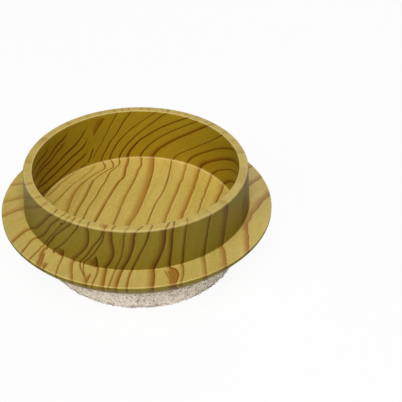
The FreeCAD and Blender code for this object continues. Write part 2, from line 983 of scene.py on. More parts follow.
@dataclass(frozen=True)
class GrainPrint:
    """Satin plastic with a printed wood grain, painted shade on the walls, painted light on the seat's
    floor, and worn print with painted highlights along the edges.

    Lengths are in mm. The flange's heights are those of its edge's underside and top and of the wall's foot.
    A pair named rise or fall gives the two ends of a smooth change, from the level that it belongs to.
    """

    seat: SeatGrain
    outside: OutsideGrain
    strokes: tuple[Stroke, ...]
    specks: tuple[Speck, ...]
    edges: tuple[WornHighlitEdge, ...]
    seat_radius: float
    flange_z: Point3

    tan: Colour = from_srgb(184, 160, 74)
    pale_tan: Colour = from_srgb(202, 178, 100)
    # painted light: brightens the seat's level floor, which the rim shades from the lamps
    seat_floor_painted_light: Colour = (1.23, 1.21, 1.10)
    ring_soft: Colour = from_srgb(168, 112, 28)
    ring_dark: Colour = from_srgb(110, 62, 10)
    # worn print and painted highlight along the edges
    worn_print_highlight: Colour = from_srgb(226, 210, 150)
    # painted shade: darkens the seat's wall
    seat_wall_painted_shade: Colour = (0.65, 0.58, 0.11)
    # painted shade: darkens the outer wall and the flange's underside
    outer_wall_painted_shade: Colour = (0.375, 0.365, 0.125)
    speck_ink: Colour = from_srgb(34, 24, 14)
    roughness: float = 0.45
    gloss: float = 0.1
    bump_strength: float = 0.08
    bump_height: float = 0.05 * MM

    wander: tuple[Wave, ...] = (Wave(0.05, 1.0, 0.5), Wave(0.17, 2.0, 0.5), Wave(0.8, 1.0, 0.12))
    cloud: Wave = Wave(0.06, 3.0, 0.4)
    streak: Wave = Wave(0.9, 3.0, 0.8, 0.6)
    mottle: Wave = Wave(1.3, 3.0)
    fade: Wave = Wave(0.09, 1.0)
    worn_highlight: Wave = Wave(0.4, 3.0, 0.5)
    rough: Wave = Wave(0.25, 3.0, 0.05)
    streak_stretch: float = 0.06
    mottle_share: float = 0.7
    middle_tone: float = 0.5
    fade_rise: Point2 = (-0.6, 0.2)
    least_ink: float = 0.55
    worn_highlight_level: float = 0.8

    outside_drawn: tuple[int, int] = (4, 19)
    seat_drawn: int = 17
    seat_front_rise: Point2 = (4.0, -4.0)
    edge_line: float = 0.8
    soft_share: float = 0.95
    dark_in_shade: float = 0.4
    dark_in_line: float = 0.6
    seat_wall_gain: float = 0.35
    stroke_sway: float = 0.3
    rim_fade: float = 0.3
    rim_thinning: float = 0.6
    flange_fade: float = 0.8
    flange_thinning: float = 0.4

    below_floor: float = 1.0
    wall_start: float = 0.2
    floor_rise: Point2 = (0.0, 0.4)
    foot_rise: Point2 = (-0.1, 0.5)
    edge_fall: Point2 = (-0.1, -0.4)
    under_rise: Point2 = (-4.6, -2.4)
    rim_fall: Point2 = (0.0, -0.5)

    def material(self) -> bpy.types.Material:
        """Build the print's material.

        Returns:
            The material.
        """
        sheet = MaterialSheet("grained_plastic")
        wander = sheet.layered(self.wander)
        inside = self._inside(sheet)
        soft, line = self._grain(sheet, inside, wander)
        mottle = sheet.noise(sheet.place, self.mottle)
        grain_with_painted_shading = self._grain_with_painted_shading(sheet, inside, soft, line, mottle)
        # worn print and painted highlights pale the edges
        worn_highlight = sheet.blend(self._worn_highlights(sheet), grain_with_painted_shading, self.worn_print_highlight)
        spotted = sheet.blend(self._spots(sheet), worn_highlight, self.speck_ink)
        return sheet.surface(
            {
                "Base Color": spotted,
                "Roughness": sheet.noise(sheet.place, self.rough) + self.roughness,
                "Normal": sheet.bump(self.bump_strength, self.bump_height, mottle),
                "Specular IOR Level": self.gloss,
            }
        )

    def _grain(self, sheet: MaterialSheet, inside: Wire, wander: Wire) -> tuple[Wire, Wire]:
        """Print the rings and the strokes.

        Args:
            sheet: The material's sheet.
            inside: One in the seat.
            wander: How far the rings wander there.

        Returns:
            The share of the shades and of the lines.
        """
        outer_phase = self.outside.phase(sheet, wander)
        seat_phase = self.seat.phase(sheet, wander)
        traits = sheet.blend(
            inside, self.outside.traits(sheet, outer_phase), self.seat.traits(sheet, seat_phase)
        )
        width, shade, depth = sheet.split("ShaderNodeSeparateColor", traits)
        phase = outer_phase + (seat_phase - outer_phase) * inside
        to_edge = (1.0 - sheet.math("FRACT", phase)) * width * Grain.TRAIT_SCALE
        charts = self._charts(sheet, inside, wander)
        outer = charts[Face.OUTSIDE]
        drawn = self._drawn(sheet, charts, outer_phase, seat_phase)
        ring_depth = depth * (1.0 - drawn) * outer.spread
        soft, line = self._printed(sheet, to_edge, shade * Grain.TRAIT_SCALE, ring_depth)
        for face, chart in charts.items():
            face_soft, face_line = self._stroked(sheet, face, chart)
            soft = sheet.math("MAXIMUM", soft, face_soft * chart.mask)
            line = sheet.math("MAXIMUM", line, face_line * chart.mask)
        foot = self.outside.foot
        on_flange = sheet.step(outer.along, foot, foot + self.flange_fade) * outer.mask
        return soft, line * (1.0 - on_flange * self.flange_thinning)

    def _grain_with_painted_shading(self, sheet: MaterialSheet, inside: Wire, soft: Wire, line: Wire, mottle: Wire) -> Wire:
        """Colour the plastic and its grain, and paint shade on the walls and light on the seat's floor.

        Args:
            sheet: The material's sheet.
            inside: One in the seat.
            soft: The share of the shades.
            line: The share of the lines.
            mottle: The fine mottle of the plastic.

        Returns:
            The colour, with painted shade on the walls and the flange's underside and painted light on the
            seat's floor.
        """
        least = self.least_ink
        faded = sheet.step(sheet.noise(sheet.place, self.fade), *self.fade_rise) * (1.0 - least) + least
        upright = self._upright(sheet, inside)
        tone = sheet.noise(sheet.place, self.cloud) + self._streak(sheet, inside)
        body = sheet.blend(tone + mottle * self.mottle_share + self.middle_tone, self.tan, self.pale_tan)
        gain = upright * inside * self.seat_wall_gain + 1.0
        softened = sheet.blend(soft * gain * self.soft_share, body, self.ring_soft)
        dark = (soft * self.dark_in_shade + line * self.dark_in_line) * faded * gain
        lined = sheet.blend(dark, softened, self.ring_dark)
        # painted shade: the walls and the flange's underside are multiplied darker
        wall_painted_shade = sheet.blend(inside, self.outer_wall_painted_shade, self.seat_wall_painted_shade)
        grain_with_painted_shading = sheet.blend(upright, lined, wall_painted_shade, Blend.MULTIPLY)
        # painted light: the seat's level floor is multiplied brighter
        return sheet.blend(inside * (1.0 - upright), grain_with_painted_shading, self.seat_floor_painted_light, Blend.MULTIPLY)

    def _streak(self, sheet: MaterialSheet, inside: Wire) -> Wire:
        """Draw the fine streaks along the grain.

        Args:
            sheet: The material's sheet.
            inside: One in the seat.

        Returns:
            The streaks, from below zero to above.
        """
        outer, seat = self.outside.across(sheet), self.seat.across(sheet)
        _, y, z = sheet.axes
        across = outer + (seat - outer) * inside
        stretch = self.streak_stretch
        way = sheet.node("ShaderNodeCombineXYZ", None, {"X": across, "Y": y * stretch, "Z": z * stretch})
        return sheet.noise(way, self.streak)

    def _charts(self, sheet: MaterialSheet, inside: Wire, wander: Wire) -> dict[Face, Chart]:
        """Lay the faces flat for the strokes.

        Args:
            sheet: The material's sheet.
            inside: One in the seat.
            wander: How far the rings wander there.

        Returns:
            The chart of each face.
        """
        x, y, z = sheet.axes
        along, angle = self.outside.unrolled(sheet)
        arc = sheet.radius * math.radians(1.0)
        sway = wander * self.stroke_sway
        outer_side = 1.0 - inside
        rim_width = self.outside.rim_width
        on_rim = sheet.step(along, rim_width + self.rim_fade, rim_width - self.rim_fade) * outer_side
        on_wall = inside * (z > self.seat.floor_z + self.wall_start)
        seat_angle = BACK_DEGREES - sheet.math("DEGREES", sheet.math("ARCTAN2", x, y))
        turn = sway / arc
        terms = {
            Face.OUTSIDE: (along, angle - turn, arc, outer_side, 1.0 - on_rim * self.rim_thinning),
            Face.SEAT_FLOOR: (y, x - sway, 1.0, inside - on_wall),
            Face.SEAT_WALL: (z, seat_angle + turn, arc * -1.0, on_wall),
            Face.SEAT_SIDE: (seat_angle, z - sway, 1.0, on_wall),
        }
        return {face: Chart.of(face, *term) for face, term in terms.items()}

    def _drawn(
        self, sheet: MaterialSheet, charts: Mapping[Face, Chart], outer_phase: Wire, seat_phase: Wire
    ) -> Wire:
        """Find where the strokes take the place of the rings.

        Args:
            sheet: The material's sheet.
            charts: The charts of the faces.
            outer_phase: The number of rings passed over the outside.
            seat_phase: The number of rings passed over the seat.

        Returns:
            The share of the strokes.
        """
        first, last = self.outside_drawn
        to_back = charts[Face.SEAT_FLOOR].along
        outer = (outer_phase > first) * (outer_phase < last) * (to_back < 0.0)
        beside = sheet.step(to_back, *self.seat_front_rise) * charts[Face.SEAT_WALL].mask
        seat = (seat_phase < self.seat_drawn) * (1.0 - beside)
        return seat + (outer - seat) * charts[Face.OUTSIDE].mask

    def _stroked(self, sheet: MaterialSheet, face: Face, chart: Chart) -> tuple[Wire, Wire]:
        """Print all the strokes of one face.

        Args:
            sheet: The material's sheet.
            face: The face.
            chart: Its chart.

        Returns:
            The share of the shades and of the lines.
        """
        soft, line = 0.0, 0.0
        for stroke in self.strokes:
            if stroke.face is face:
                gap = stroke.gap(sheet, chart)
                share = stroke.share(sheet, chart, gap)
                stroke_soft, stroke_line = self._printed(sheet, gap, stroke.reach(sheet, chart), share)
                soft = sheet.math("MAXIMUM", soft, stroke_soft)
                if stroke.crisp < 1.0:
                    stroke_line = stroke_line * stroke.crisp
                line = sheet.math("MAXIMUM", line, stroke_line)
        return soft, line

    def _printed(self, sheet: MaterialSheet, to_edge: Wire, shade: Value, depth: Value) -> tuple[Wire, Wire]:
        """Print a line and the shade that fades away from it.

        Args:
            sheet: The material's sheet.
            to_edge: The distance to the line, on its shaded side.
            shade: How far the shade reaches.
            depth: How deep both are.

        Returns:
            The shade's share and the line's share.
        """
        soft = sheet.step(to_edge, shade, 0.0)
        line = sheet.math("MAXIMUM", 1.0 - to_edge / self.edge_line, 0.0)
        return soft * depth, line * depth

    def _inside(self, sheet: MaterialSheet) -> Wire:
        """One in the castor's seat, and zero elsewhere."""
        _, _, height = sheet.axes
        return (sheet.radius < self.seat_radius) * (height > self.seat.floor_z - self.below_floor)

    def _upright(self, sheet: MaterialSheet, inside: Wire) -> Wire:
        """Tell the walls from the level faces.

        Args:
            sheet: The material's sheet.
            inside: One in the seat.

        Returns:
            The share of the painted shade, one on the walls and the flange's underside and zero on the level
            faces.
        """
        _, _, height = sheet.axes

        def change(level: float, ends: Point2) -> Wire:
            """A smooth change between two heights that are given from a level."""
            return sheet.step(height, level + ends[0], level + ends[1])

        edge_under, edge_top, wall_foot = self.flange_z
        above_floor = change(self.seat.floor_z, self.floor_rise)
        above_flange = change(wall_foot, self.foot_rise)
        below_flange = change(edge_top, self.edge_fall) * change(edge_under, self.under_rise)
        below_rim = change(self.outside.rim_z, self.rim_fall)
        outer = sheet.math("MAXIMUM", above_flange, below_flange)
        return (outer + (above_floor - outer) * inside) * below_rim

    def _worn_highlights(self, sheet: MaterialSheet) -> Wire:
        """Thin the print and paint highlights along the cup's edges.

        Args:
            sheet: The material's sheet.

        Returns:
            How pale the worn print and the painted highlights make it.
        """
        radius = sheet.radius
        _, _, height = sheet.axes
        shares = 0.0
        for edge in self.edges:
            out = radius - edge.from_axis
            up = height - edge.height
            away = (out * out + up * up) ** 0.5
            shares = shares + sheet.step(away, edge.reach, edge.reach * edge.core) * edge.share
        return shares * (sheet.noise(sheet.place, self.worn_highlight) + self.worn_highlight_level)

    def _spots(self, sheet: MaterialSheet) -> Wire:
        """Find the dark faults.

        Args:
            sheet: The material's sheet.

        Returns:
            One on them, and zero elsewhere.
        """
        shares = []
        for speck in self.specks:
            away = sheet.vector("DISTANCE", sheet.place, speck.centre, output="Value")
            shares.append(sheet.step(away, speck.size, speck.size * speck.core))
        return sheet.math("ADD", *shares, clamp=True)


@dataclass
class Cup:
    """The moulded cup: seat, wall, flange, underside and collar, in metres."""

    FELT_CLEARANCE: ClassVar[float] = 0.3 * MM

    bore_radius: float
    seat_z: float
    rim_z: float
    lip_z: float
    flange_radius: float
    pad_seat_z: float
    recess_radius: float
    rim_wall: float = 2.6 * MM
    wall_draft: float = 0.8 * MM
    flange_fall: float = 0.4 * MM
    flange_edge: float = 1.2 * MM
    flange_rise: float = 7.8 * MM
    underside_width: float = 9.3 * MM
    underside_crown: float = 0.8 * MM
    collar_height: float = 2.0 * MM
    collar_draft: float = 0.9 * MM
    rim_inner_round: float = 0.3 * MM
    rim_outer_round: float = 0.7 * MM
    small_round: float = 0.25 * MM
    flange_under_round: float = 0.7 * MM
    segments: int = 320
    crown_steps: int = 14

    @classmethod
    def from_frame(cls) -> "Cup":
        """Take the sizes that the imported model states.

        Returns:
            The cup.
        """
        low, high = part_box("cup")
        _, pad_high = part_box("felt_pad")
        mounts = {mount["name"]: mount for mount in frame["record"]["mounts"]}
        return cls(
            bore_radius=mounts["castor_seat"]["dims"]["r_mm"] * MM,
            seat_z=mounts["seat_floor"]["pos_m"][2],
            rim_z=high[2],
            lip_z=low[2],
            flange_radius=high[0],
            pad_seat_z=pad_high[2],
            recess_radius=pad_high[0] + cls.FELT_CLEARANCE,
        )

    @property
    def rim_radius(self) -> float:
        """The rim's outer radius."""
        return self.bore_radius + self.rim_wall

    @property
    def wall_radius(self) -> float:
        """The outer radius at the wall's foot."""
        return self.rim_radius + self.wall_draft

    @property
    def collar_z(self) -> float:
        """The height at which the underside meets the collar."""
        return self.lip_z + self.collar_height

    @property
    def edge_under_z(self) -> float:
        """The height of the flange's edge, on its underside."""
        return self.collar_z + self.flange_rise

    @property
    def edge_top_z(self) -> float:
        """The height of the flange's edge, on its top."""
        return self.edge_under_z + self.flange_edge

    @property
    def wall_foot_z(self) -> float:
        """The height at which the flange meets the wall."""
        return self.edge_top_z + self.flange_fall

    def corners(self) -> list[Corner]:
        """Lay out the half section.

        Returns:
            Its corners, from the seat's middle over the rim to the pad's recess.
        """
        collar_radius = self.flange_radius - self.underside_width
        edge = Vector((self.flange_radius, self.edge_under_z))
        collar = Vector((collar_radius, self.collar_z))
        return [
            Corner(0.0, self.seat_z),
            Corner(self.bore_radius, self.seat_z, self.small_round),
            Corner(self.bore_radius, self.rim_z, self.rim_inner_round),
            Corner(self.rim_radius, self.rim_z, self.rim_outer_round),
            Corner(self.wall_radius, self.wall_foot_z, self.small_round),
            Corner(self.flange_radius, self.edge_top_z, self.small_round),
            Corner(self.flange_radius, self.edge_under_z, self.flange_under_round),
            *self._crown(edge, collar),
            Corner(collar_radius, self.collar_z, self.small_round),
            Corner(collar_radius - self.collar_draft, self.lip_z, self.small_round),
            Corner(self.recess_radius, self.lip_z, self.small_round / 2),
            Corner(self.recess_radius, self.pad_seat_z),
            Corner(0.0, self.pad_seat_z),
        ]

    def _crown(self, start: Vector, end: Vector) -> list[Corner]:
        """Crown the underside.

        Args:
            start: Its outer end.
            end: Its inner end.

        Returns:
            The corners between the two.
        """
        way = end - start
        out = Vector((-way.y, way.x)).normalized()
        half = way.length / 2
        radius = (half * half + self.underside_crown**2) / (2 * self.underside_crown)
        centre = (start + end) / 2 - out * (radius - self.underside_crown)
        sweep = 2 * math.asin(half / radius)
        corners = []
        for step in range(1, self.crown_steps):
            turn = sweep * (0.5 - step / self.crown_steps)
            ray = Matrix.Rotation(turn, 2) @ out
            corners.append(Corner(*(centre + ray * radius)))
        return corners

    def build(self, finish: GrainPrint) -> bpy.types.Object:
        """Turn and dress the cup.

        Args:
            finish: The print.

        Returns:
            The cup, in place of its solid.
        """
        piece = Section(self.corners()).turned("moulded_cup", self.segments, finish.material())
        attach(piece, "root")
        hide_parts("cup")
        return piece


@dataclass(frozen=True)
class HeatherFelt:
    """Pressed felt of mixed beige, cream and brown fibres, with painted shade that makes its face darker
    than its cut side.

    The face's depth is in mm. The rises say between which values of the noise a colour comes in.
    """

    cream: Colour = from_srgb(255, 251, 242)
    beige: Colour = from_srgb(250, 240, 222)
    brown: Colour = from_srgb(158, 132, 100)
    # painted shade: darkens the felt's face below its cut side
    face_painted_shade: Colour = (0.56, 0.50, 0.43)
    face_depth: Point2 = (0.1, 0.5)
    roughness: float = 0.95
    bump_strength: float = 0.6
    bump_height: float = 0.2 * MM
    cloud: Wave = Wave(0.35, 3.0, 0.4)
    fleck: Wave = Wave(2.4, 3.0, 1.0, 0.7)
    speckle: Wave = Wave(2.0, 2.0, 1.0, 0.6)
    brown_rise: Point2 = (-0.1, 0.4)
    cream_rise: Point2 = (-0.05, 0.3)
    fibre_brown: Point2 = (0.0, 0.14)
    fibre_beige: float = 0.24
    fibre_cream: float = 0.7

    def body(self) -> bpy.types.Material:
        """Build the material of the pressed body.

        Returns:
            The material.
        """
        sheet = MaterialSheet("heather_felt")
        cloud = sheet.noise(sheet.place, self.cloud)
        fleck = sheet.noise(sheet.place, self.fleck)
        speckle = sheet.noise(sheet.scaled(sheet.place, -1.0), self.speckle)
        mixed = sheet.blend(sheet.step(cloud + speckle, *self.brown_rise), self.beige, self.brown)
        flecked = sheet.blend(sheet.step(fleck, *self.cream_rise), mixed, self.cream)
        bump = sheet.bump(self.bump_strength, self.bump_height, fleck)
        colour = self._with_face_painted_shade(sheet, flecked)
        return sheet.surface({"Base Color": colour, "Roughness": self.roughness, "Normal": bump})

    def fibres(self) -> bpy.types.Material:
        """Build the material of the loose fibres, by each fibre's own tone.

        Returns:
            The material.
        """
        sheet = MaterialSheet("heather_felt_fibres")
        tone = sheet.node("ShaderNodeAttribute", {"attribute_name": FeltPad.TONE}, None, "Fac")
        stops = [(place, self.brown) for place in self.fibre_brown]
        stops += [(self.fibre_beige, self.beige), (self.fibre_cream, self.cream)]
        mixed = sheet.node("ShaderNodeValToRGB", {"stops": stops}, {"Fac": tone}, "Color")
        colour = self._with_face_painted_shade(sheet, mixed)
        return sheet.surface({"Base Color": colour, "Roughness": self.roughness})

    def _with_face_painted_shade(self, sheet: MaterialSheet, colour: Wire) -> Wire:
        """Darken a colour on the pad's face with painted shade.

        Args:
            sheet: The material's sheet.
            colour: The felt's colour.

        Returns:
            The colour by its height above the floor.
        """
        _, _, height = sheet.axes
        # painted shade on the pad's face
        on_face = 1.0 - sheet.step(height, *self.face_depth)
        return sheet.blend(on_face, colour, self.face_painted_shade, Blend.MULTIPLY)


@dataclass
class FeltPad:
    """The felt disc under the cup, pressed out a little on one side, with loose fibres, in metres.

    A fibre's bow is a share of its length, its lean is the angle to the surface's normal, and its sizes are
    the least and the greatest share of the length.
    """

    TONE: ClassVar[str] = "fibre_tone"

    radius: float
    thickness: float
    lip_z: float
    swell: float = 0.4 * MM
    shift: float = 1.0 * MM
    shift_height: float = 1.6 * MM
    edge_round: float = 0.8 * MM
    edge_steps: int = 6
    nap: float = 0.22 * MM
    segments: int = 220
    side_rings: int = 14
    face_rings: int = 40
    edge_rings: int = 2
    lump: float = 0.14 * MM
    lump_size: float = 2.6 * MM
    small_lump_size: float = 0.9 * MM
    small_lump_share: float = 0.5
    lump_level: float = 0.6
    fibre_count: int = 10800
    fibre_length: float = 1.7 * MM
    fibre_radius: float = 0.045 * MM
    fibre_steps: int = 3
    fibre_sides: int = 3
    fibre_bow: float = 0.22
    fibre_lean: Point2 = (math.radians(80), math.radians(94))
    fibre_sizes: Point2 = (0.5, 1.25)
    fibre_seed: int = 7

    @classmethod
    def from_frame(cls) -> "FeltPad":
        """Take the pad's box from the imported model.

        Returns:
            The pad.
        """
        _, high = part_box("felt_pad")
        low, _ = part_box("cup")
        return cls(radius=high[0], thickness=high[2], lip_z=low[2])

    def build(self, finish: HeatherFelt) -> list[bpy.types.Object]:
        """Make the pressed body and its fibres.

        Args:
            finish: The felt.

        Returns:
            The body, in place of its solid, and the fibres.
        """
        body = self._body(finish.body())
        fibres = self._fibres(body, finish.fibres())
        for piece in (body, fibres):
            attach(piece, "root")
        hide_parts("felt_pad")
        return [body, fibres]

    @property
    def edge_z(self) -> float:
        """The height at which the side starts to turn in to the face."""
        return self.nap + self.edge_round

    def _body(self, material: bpy.types.Material) -> bpy.types.Object:
        """Turn the disc and press it into shape.

        Args:
            material: The finish.

        Returns:
            The body.
        """
        side = [
            Corner(self.radius, self.edge_z + (self.thickness - self.edge_z) * ring / self.side_rings)
            for ring in range(self.side_rings, 0, -1)
        ]
        face = [
            Corner(self.radius * ring / self.face_rings, self.nap)
            for ring in range(self.face_rings - self.edge_rings, -1, -1)
        ]
        corners = [Corner(0.0, self.thickness), *side, Corner(self.radius, self.nap, self.edge_round), *face]
        section = Section(corners, arc_steps=self.edge_steps)
        piece = section.turned("felt_pad_body", self.segments, material)
        for vertex in piece.data.vertices:
            vertex.co = self._pressed(vertex.co.copy())
        return piece

    def _pressed(self, place: Vector) -> Vector:
        """Move a point of the plain disc.

        Args:
            place: The point.

        Returns:
            The point, swollen out below the collar, pressed in by soft lumps and moved to one side.
        """
        below = max(0.0, min(1.0, (self.lip_z - place.z) / self.shift_height))
        if below == 0.0:
            return place
        small_wave = noise.noise(place / self.small_lump_size)
        wave = noise.noise(place / self.lump_size) + self.small_lump_share * small_wave
        inward = max(0.0, self.lump * (self.lump_level + self.lump_level * wave))
        moved = place.copy()
        flat = Vector((place.x, place.y, 0.0))
        if flat.length > self.radius - self.edge_round:
            moved += flat.normalized() * (self.swell - inward) * below
        if place.z < self.edge_z:
            moved.z += inward
        moved.x += self.shift * below
        return moved

    def _fibres(self, body: bpy.types.Object, material: bpy.types.Material) -> bpy.types.Object:
        """Lay short fibres over the pad's side and face.

        Args:
            body: The pressed body.
            material: The fibres' finish.

        Returns:
            The fibres, none of them below the floor.
        """
        area = math.pi * self.radius**2 + math.tau * self.radius * self.lip_z
        piece = new_object("felt_pad_fibres", body.data.copy())
        sheet = GeometrySheet("felt_fibres")
        density = sheet.named("Density", self.fibre_count / area)
        length = sheet.named("Length", self.fibre_length)
        thick = sheet.named("Fibre radius", self.fibre_radius)
        seed = sheet.named("Seed", self.fibre_seed)
        finish = sheet.named("Finish", material)
        ceiling = sheet.named("Ceiling", self.lip_z)
        place = sheet.node("GeometryNodeInputPosition")
        height = sheet.node("ShaderNodeSeparateXYZ", None, {0: place}, "Z")
        points = sheet.node(
            "GeometryNodeDistributePointsOnFaces",
            {"distribute_method": "RANDOM"},
            {"Mesh": sheet.geometry, "Selection": height < ceiling, "Density": density, "Seed": seed},
            "Points",
        )
        fibre = self._fibre(sheet, length, thick)
        laid = self._laid(sheet, Wire(sheet, points.socket.node.outputs["Rotation"]), seed)
        size = self._even(sheet, self._random(sheet, *self.fibre_sizes, seed + 1.0))
        planted = sheet.node(
            "GeometryNodeInstanceOnPoints",
            None,
            {"Points": points, "Instance": fibre, "Rotation": laid, "Scale": size},
        )
        toned = sheet.node(
            "GeometryNodeStoreNamedAttribute",
            {"data_type": "FLOAT", "domain": "INSTANCE"},
            {"Geometry": planted, "Name": self.TONE, "Value": self._random(sheet, 0.0, 1.0, seed + 2.0)},
        )
        sheet.finish(toned, finish)
        piece.data = sheet.plain_mesh(piece)
        for vertex in piece.data.vertices:
            vertex.co.z = max(vertex.co.z, 0.0)
        return piece

    def _fibre(self, sheet: GeometrySheet, length: Wire, thick: Wire) -> Wire:
        """Make one fibre, slightly bowed.

        Args:
            sheet: The fibres' tree.
            length: Its length.
            thick: Its radius.

        Returns:
            The fibre, upright and about the origin.
        """
        ends = {"Start": (0.0, 0.0, -0.5), "Middle": (self.fibre_bow, 0.0, 0.0), "End": (0.0, 0.0, 0.5)}
        line = sheet.node("GeometryNodeCurveQuadraticBezier", None, {"Resolution": self.fibre_steps, **ends})
        full_size = self._even(sheet, length)
        scaled = sheet.node("GeometryNodeTransform", None, {"Geometry": line, "Scale": full_size})
        circle = {"Resolution": self.fibre_sides, "Radius": thick}
        ring = sheet.node("GeometryNodeCurvePrimitiveCircle", None, circle)
        return sheet.node("GeometryNodeCurveToMesh", None, {"Curve": scaled, "Profile Curve": ring})

    def _laid(self, sheet: GeometrySheet, facing: Wire, seed: Wire) -> Wire:
        """Lay the fibres down, each its own way.

        Args:
            sheet: The fibres' tree.
            facing: The rotation that faces along the surface's normal.
            seed: The seed.

        Returns:
            The rotation of each fibre.
        """
        least, most = self.fibre_lean
        lean = sheet.node(
            "FunctionNodeRandomValue",
            {"data_type": "FLOAT_VECTOR"},
            {"Min": (least, 0.0, 0.0), "Max": (most, 0.0, math.tau), "Seed": seed},
            "Value",
        )
        turn = sheet.node("FunctionNodeEulerToRotation", None, {"Euler": lean})
        turns = {"Rotation": facing, "Rotate By": turn}
        return sheet.node("FunctionNodeRotateRotation", {"rotation_space": "LOCAL"}, turns)

    @staticmethod
    def _random(sheet: GeometrySheet, least: float, most: float, seed: Wire) -> Wire:
        """A value of each fibre's own."""
        limits = {"Min_001": least, "Max_001": most, "Seed": seed}
        return sheet.node("FunctionNodeRandomValue", {"data_type": "FLOAT"}, limits, "Value_001")

    @staticmethod
    def _even(sheet: GeometrySheet, size: Wire) -> Wire:
        """A scale that is the same along each axis."""
        return sheet.node("ShaderNodeCombineXYZ", None, {"X": size, "Y": size, "Z": size})


@dataclass(frozen=True)
class Viewpoint:
    """The photograph's camera, which orbits the pad's middle and is aimed a little off it."""

    focal_pixels: float = 954.3
    distance: float = 296.3 * MM
    near_clip: float = 10.0 * MM
    elevation: float = math.radians(38.421)
    pan: float = math.radians(-3.806)
    tilt: float = math.radians(-2.582)
    roll: float = math.radians(-2.357)

    def build(self) -> bpy.types.Object:
        """Place the camera and make it the scene's.

        Returns:
            The camera.
        """
        data = bpy.data.cameras.new("camera")
        data.sensor_width = SENSOR_WIDTH_MM
        data.lens = self.focal_pixels / PHOTO_PIXELS * SENSOR_WIDTH_MM
        data.clip_start = self.near_clip
        camera = new_object("camera", data)
        height = self.distance * math.sin(self.elevation)
        back = self.distance * math.cos(self.elevation)
        camera.matrix_world = (
            Matrix.Translation((0.0, -back, height))
            @ Matrix.Rotation(math.pi / 2 - self.elevation, 4, "X")
            @ Matrix.Rotation(self.pan, 4, "Y")
            @ Matrix.Rotation(-self.tilt, 4, "X")
            @ Matrix.Rotation(self.roll, 4, "Z")
        )
        bpy.context.scene.camera = camera
        return camera


@dataclass(frozen=True)
class Lamp:
    """A soft box that faces the cup: where it stands, its side and its power."""

    name: str
    place: Point3
    side: float
    power: float

    def build(self) -> None:
        """Hang the lamp, facing the cup."""
        data = bpy.data.lights.new(self.name, "AREA")
        data.shape = "SQUARE"
        data.size = self.side
        data.energy = self.power
        lamp = new_object(self.name, data)
        lamp.location = self.place
        lamp.rotation_euler = (-Vector(self.place)).to_track_quat("-Z", "Y").to_euler()


@dataclass(frozen=True)
class Studio:
    """White floor, white surroundings and soft light from above."""

    floor_side: float = 6.0
    floor_white: Colour = (0.9, 0.9, 0.9)
    glow: float = 0.93
    sky: float = 0.03
    lamps: tuple[Lamp, ...] = (
        Lamp("key_box", place=(0.0, -0.5, 0.75), side=0.5, power=6.0),
        Lamp("left_box", place=(-0.5, -0.5, 0.5), side=0.4, power=1.8),
        Lamp("front_box", place=(0.0, -0.9, 0.05), side=0.3, power=1.4),
        Lamp("back_box", place=(0.35, 0.75, 0.35), side=0.4, power=2.5),
    )

    def build(self) -> None:
        """Set the floor, the world and the lamps."""
        bpy.context.scene.view_settings.view_transform = "Standard"
        self._floor()
        self._world()
        for lamp in self.lamps:
            lamp.build()

    def _floor(self) -> None:
        """Lay the floor, which glows white for the camera and keeps the shadow."""
        half = self.floor_side / 2
        corners = [(-half, -half, 0.0), (half, -half, 0.0), (half, half, 0.0), (-half, half, 0.0)]
        mesh = bpy.data.meshes.new("floor")
        mesh.from_pydata(corners, [], [range(len(corners))])
        floor = new_object("floor", mesh)
        sheet = MaterialSheet("floor_white")
        matt = sheet.node("ShaderNodeBsdfDiffuse", None, {"Color": self.floor_white})
        glow = sheet.node("ShaderNodeEmission", None, {"Color": WHITE, "Strength": 1.0})
        seen = sheet.node("ShaderNodeLightPath", output="Is Camera Ray")
        mixed = sheet.node("ShaderNodeMixShader", None, {0: seen * self.glow, 1: matt, 2: glow})
        sheet.node("ShaderNodeOutputMaterial", None, {"Surface": mixed})
        mesh.materials.append(sheet.material)

    def _world(self) -> None:
        """Surround the cup with even white."""
        world = bpy.data.worlds.new("surroundings")
        world.use_nodes = True
        bpy.context.scene.world = world
        sheet = NodeSheet(world.node_tree)
        direct = sheet.node("ShaderNodeLightPath", output="Is Camera Ray")
        mirrored = sheet.node("ShaderNodeLightPath", output="Is Glossy Ray")
        strength = sheet.math("MAXIMUM", direct, mirrored) * (1.0 - self.sky) + self.sky
        light = sheet.node("ShaderNodeBackground", None, {"Color": WHITE, "Strength": strength})
        sheet.node("ShaderNodeOutputWorld", None, {"Surface": light})


